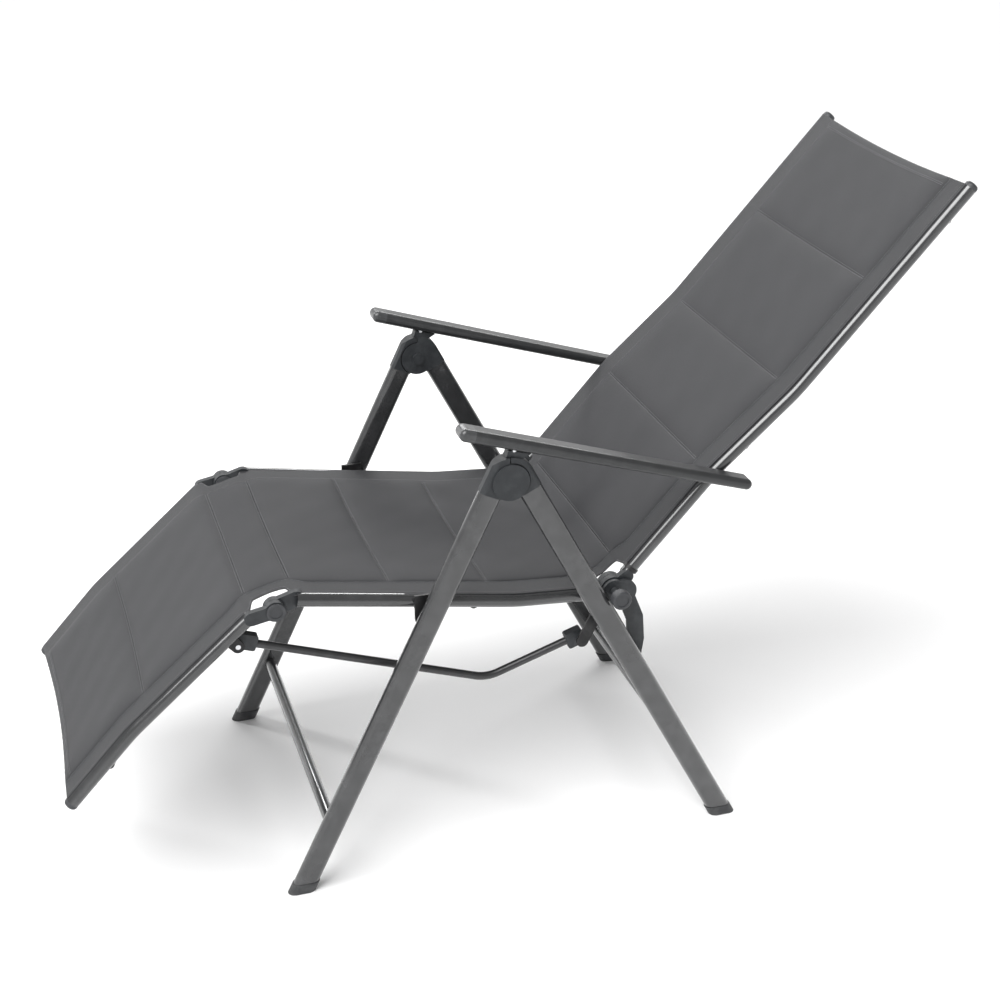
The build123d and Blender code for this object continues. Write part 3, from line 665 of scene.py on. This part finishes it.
def addMesh(name, verts, faces, finishes):
    mesh = bpy.data.meshes.new(name)
    mesh.from_pydata([tuple(point) for point in verts], [], faces)
    mesh.update()
    piece = bpy.data.objects.new(name, mesh)
    bpy.context.collection.objects.link(piece)
    for finish in finishes:
        mesh.materials.append(materials[finish])
    return piece


def buildSling(name, begin, finish, capBegin, capFinish):
    rows = panelRows(begin, finish)
    verts, faces, along, across = [], [], [], []
    rings = []
    for distance in rows:
        low, high = boundsOfPanel(distance)
        seam, wide = seamWidthAt(distance), halfWidthAt(distance)
        inner = [s * seam for s in seamShares]
        outer = [seam + (wide - seam) * t for t in borderShares]
        xs = [-v for v in reversed(outer)] + inner + outer
        ring = []
        for x, side in [(x, 1) for x in xs] + [(x, -1) for x in reversed(xs)]:
            ring.append(len(verts))
            verts.append(sheetPoint(x, distance, side, low, high))
            along.append(distance / 1000)
            across.append(x / 1000)
        rings.append(ring)
    size = len(rings[0])
    for first, second in zip(rings, rings[1:]):
        for index in range(size):
            nextIndex = (index + 1) % size
            faces.append((first[index], first[nextIndex], second[nextIndex], second[index]))
    half = size // 2
    for capped, ring, flip in ((capBegin, rings[0], False), (capFinish, rings[-1], True)):
        if not capped:
            continue
        for index in range(half - 1):
            quad = (ring[index], ring[size - 1 - index], ring[size - 2 - index], ring[index + 1])
            faces.append(tuple(reversed(quad)) if flip else quad)
    piece = addMesh(name, verts, faces, ["slingCloth", "hemCloth"])
    for label, values in (("along", along), ("across", across)):
        attribute = piece.data.attributes.new(label, "FLOAT", "POINT")
        attribute.data.foreach_set("value", values)
    for polygon in piece.data.polygons:
        polygon.use_smooth = True
        centre = sum(abs(across[v]) for v in polygon.vertices) / len(polygon.vertices) * 1000
        middle = sum(along[v] for v in polygon.vertices) / len(polygon.vertices) * 1000
        if centre > seamWidthAt(middle):
            polygon.material_index = 1
    return piece


stitching = {
    # one stitch, in millimetres: spacing, length, half width, rise, rise of its ends and of its ridge
    "pitch": 5.2, "length": 3.7, "half": 0.55, "rise": 0.5, "ends": 0.1, "ridge": 0.35,
    # lines beside the side seam, the edge, the cross seams and the hems
    "offSeam": 1.6, "offEdge": 6.0, "offCross": 1.6, "hem": 16.0,
    # where the lines along begin, and how far from the side seams the lines across end
    "lead": 2, "short": 3,
}


def buildStitches(name, begin, finish):
    # short raised threads along every seam of one length of the sling
    verts, faces = [], []
    pitch, length, half, rise = (stitching[key] for key in ("pitch", "length", "half", "rise"))
    offSeam, offEdge, ends = stitching["offSeam"], stitching["offEdge"], stitching["ends"]

    def stitch(x0, d0, x1, d1):
        low, high = boundsOfPanel((d0 + d1) / 2)
        a = sheetPoint(x0, d0, 1, low, high)
        b = sheetPoint(x1, d1, 1, low, high)
        run = (b - a).normalized()
        tangent = slingLine.tangent((d0 + d1) / 2)
        up = Vector((0, -tangent.y, tangent.x))
        side = run.cross(up).normalized() * half / 1000
        first = len(verts)
        for point, lift in ((a, ends), (a.lerp(b, 0.25), rise), (a.lerp(b, 0.75), rise), (b, ends)):
            for offset, extra in ((-side, 0.0), (side * 0.0, stitching["ridge"]), (side, 0.0)):
                verts.append(point + offset + up * (lift + extra) / 1000)
        for row in range(3):
            for column in range(2):
                corner = first + row * 3 + column
                faces.append((corner, corner + 1, corner + 4, corner + 3))
        faces.append((first + 2, first + 1, first))
        faces.append((first + 9, first + 10, first + 11))

    distance = begin + stitching["lead"]
    while distance + length < finish:
        ahead = distance + length
        for x0, x1 in ((seamWidthAt(distance) + offSeam, seamWidthAt(ahead) + offSeam),
                       (halfWidthAt(distance) - offEdge, halfWidthAt(ahead) - offEdge)):
            for sign in (-1, 1):
                stitch(sign * x0, distance, sign * x1, ahead)
        distance += pitch
    crossRows = [m for m in seamPlaces if begin - 0.5 <= m <= finish + 0.5]
    crossRows += [m for m in (stitching["hem"], slingEnd - stitching["hem"]) if begin < m < finish]
    for mark in crossRows:
        seam = seamWidthAt(mark) - stitching["short"]
        for gap in (-stitching["offCross"], stitching["offCross"]):
            row = mark + gap
            if not begin < row < finish:
                continue
            x = -seam
            while x + length < seam:
                stitch(x, row, x + length, row)
                x += pitch
    piece = addMesh(name, verts, faces, ["thread"])
    for polygon in piece.data.polygons:
        polygon.use_smooth = True
    return piece


kneeMiddle = slingLine.whereY(sling["kneeMiddle"])
kneeFront, kneeRear, rearSeam = seamPlaces[1], seamPlaces[2], seamPlaces[5]
# the cloth turns over this far in front of the knee and on each side of the rear seam
kneeTurn, rearTurn = 12, 95
# name, from, to, bodies, and the two places between which the cloth turns from one to the other
lengths = [
    ("slingFoot", 0.0, kneeMiddle, "footrest", "knee_axle", kneeFront - kneeTurn, kneeMiddle),
    ("slingKnee", kneeMiddle, kneeRear, "knee_axle", "seat_frame", kneeMiddle, kneeRear),
    ("slingSeat", kneeRear, rearSeam, "seat_frame", "hinge_axle", rearSeam - rearTurn, rearSeam),
    ("slingBack", rearSeam, slingEnd, "hinge_axle", "back_frame", rearSeam, rearSeam + rearTurn),
]
for name, begin, finish, bodyA, bodyB, turnFrom, turnTo in lengths:
    cloth = buildSling(name, begin, finish, begin == 0.0, finish == slingEnd)
    seams = buildStitches(name + "Thread", begin, finish)
    for piece in (cloth, seams):
        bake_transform(piece)
    print("sewn", name, len(cloth.data.vertices), "points")
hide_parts("foot_sling")
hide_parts("seat_sling")
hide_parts("back_sling")

studio = {
    "floorHalf": 60.0,
    # the light round the studio, brightest at the horizon; "turn" is the height where it has faded
    "world": (1.0, 1.0, 1.0, 1), "horizon": 0.97, "zenith": 0.36, "turn": 0.36,
    "sun": {"strength": 3.05, "angle": 48.0, "from": (0.35, -0.5, 0.75)},
    "lamps": [
        {"name": "farRim", "at": (-2.6, 0.9, 2.5), "aim": (0, 0.1, 0.6),
         "size": (3.2, 0.4), "roll": 0.0, "power": 55},
        {"name": "frontRim", "at": (-2.6, -1.9, 1.95), "aim": (0, 0.2, 0.7),
         "size": (0.22, 2.4), "roll": 28.0, "power": 34},
        {"name": "backSoft", "at": (0.7, -0.7, 2.5), "aim": (0, 0.55, 0.85),
         "size": (1.3, 1.3), "roll": 0.0, "power": 10},
    ],
}

reach = studio["floorHalf"]
floorCorners = [(-reach, -reach, 0), (reach, -reach, 0), (reach, reach, 0), (-reach, reach, 0)]
floor = addMesh("studioFloor", floorCorners, [(0, 1, 2, 3)], ["floorPaint"])

world = bpy.data.worlds.new("studioWorld")
world.use_nodes = True
background = world.node_tree.nodes["Background"]
background.inputs["Color"].default_value = studio["world"]
heading = newNode(world.node_tree, "ShaderNodeTexCoord", (-800, 0))
upness = newNode(world.node_tree, "ShaderNodeSeparateXYZ", (-600, 0))
fade = newNode(world.node_tree, "ShaderNodeMapRange", (-400, 0), interpolation_type="SMOOTHSTEP")
fade.inputs["From Max"].default_value = studio["turn"]
fade.inputs["To Min"].default_value = studio["horizon"]
fade.inputs["To Max"].default_value = studio["zenith"]
link(world.node_tree, heading.outputs["Generated"], upness.inputs[0])
link(world.node_tree, upness.outputs["Z"], fade.inputs["Value"])
link(world.node_tree, fade.outputs[0], background.inputs["Strength"])
bpy.context.scene.world = world

sun = bpy.data.lights.new("studioSun", "SUN")
sun.energy = studio["sun"]["strength"]
sun.angle = math.radians(studio["sun"]["angle"])
sunHolder = bpy.data.objects.new("studioSun", sun)
bpy.context.collection.objects.link(sunHolder)
sunHolder.rotation_euler = (-Vector(studio["sun"]["from"])).to_track_quat("-Z", "Y").to_euler()

for lamp in studio["lamps"]:
    light = bpy.data.lights.new(lamp["name"], "AREA")
    light.shape = "RECTANGLE"
    light.size, light.size_y = lamp["size"]
    light.energy = lamp["power"]
    holder = bpy.data.objects.new(lamp["name"], light)
    bpy.context.collection.objects.link(holder)
    holder.location = lamp["at"]
    aim = Vector(lamp["aim"]) - Vector(lamp["at"])
    turned = aim.to_track_quat("-Z", "Y") @ Quaternion((0, 0, 1), math.radians(lamp["roll"]))
    holder.rotation_euler = turned.to_euler()

# fitted to the photograph: place in metres, turns in degrees, focal length in pixels of the width
view = {"at": (2.59322989, -0.35840346 - footToOrigin / 1000, 1.81391609), "yaw": 17.291758,
        "pitch": 25.494786, "focal": 1775.0589, "width": 1000, "sensor": 36.0}
cameraData = bpy.data.cameras.new("photoCamera")
cameraData.sensor_width = view["sensor"]
cameraData.lens = view["sensor"] * view["focal"] / view["width"]
camera = bpy.data.objects.new("photoCamera", cameraData)
bpy.context.collection.objects.link(camera)
yaw, pitch = math.radians(view["yaw"]), math.radians(view["pitch"])
forward = Vector((-math.cos(yaw) * math.cos(pitch), math.sin(yaw) * math.cos(pitch), -math.sin(pitch)))
camera.location = view["at"]
camera.rotation_euler = forward.to_track_quat("-Z", "Y").to_euler()
bpy.context.scene.camera = camera
bpy.context.scene.view_settings.view_transform = "Standard"
print("studio set")
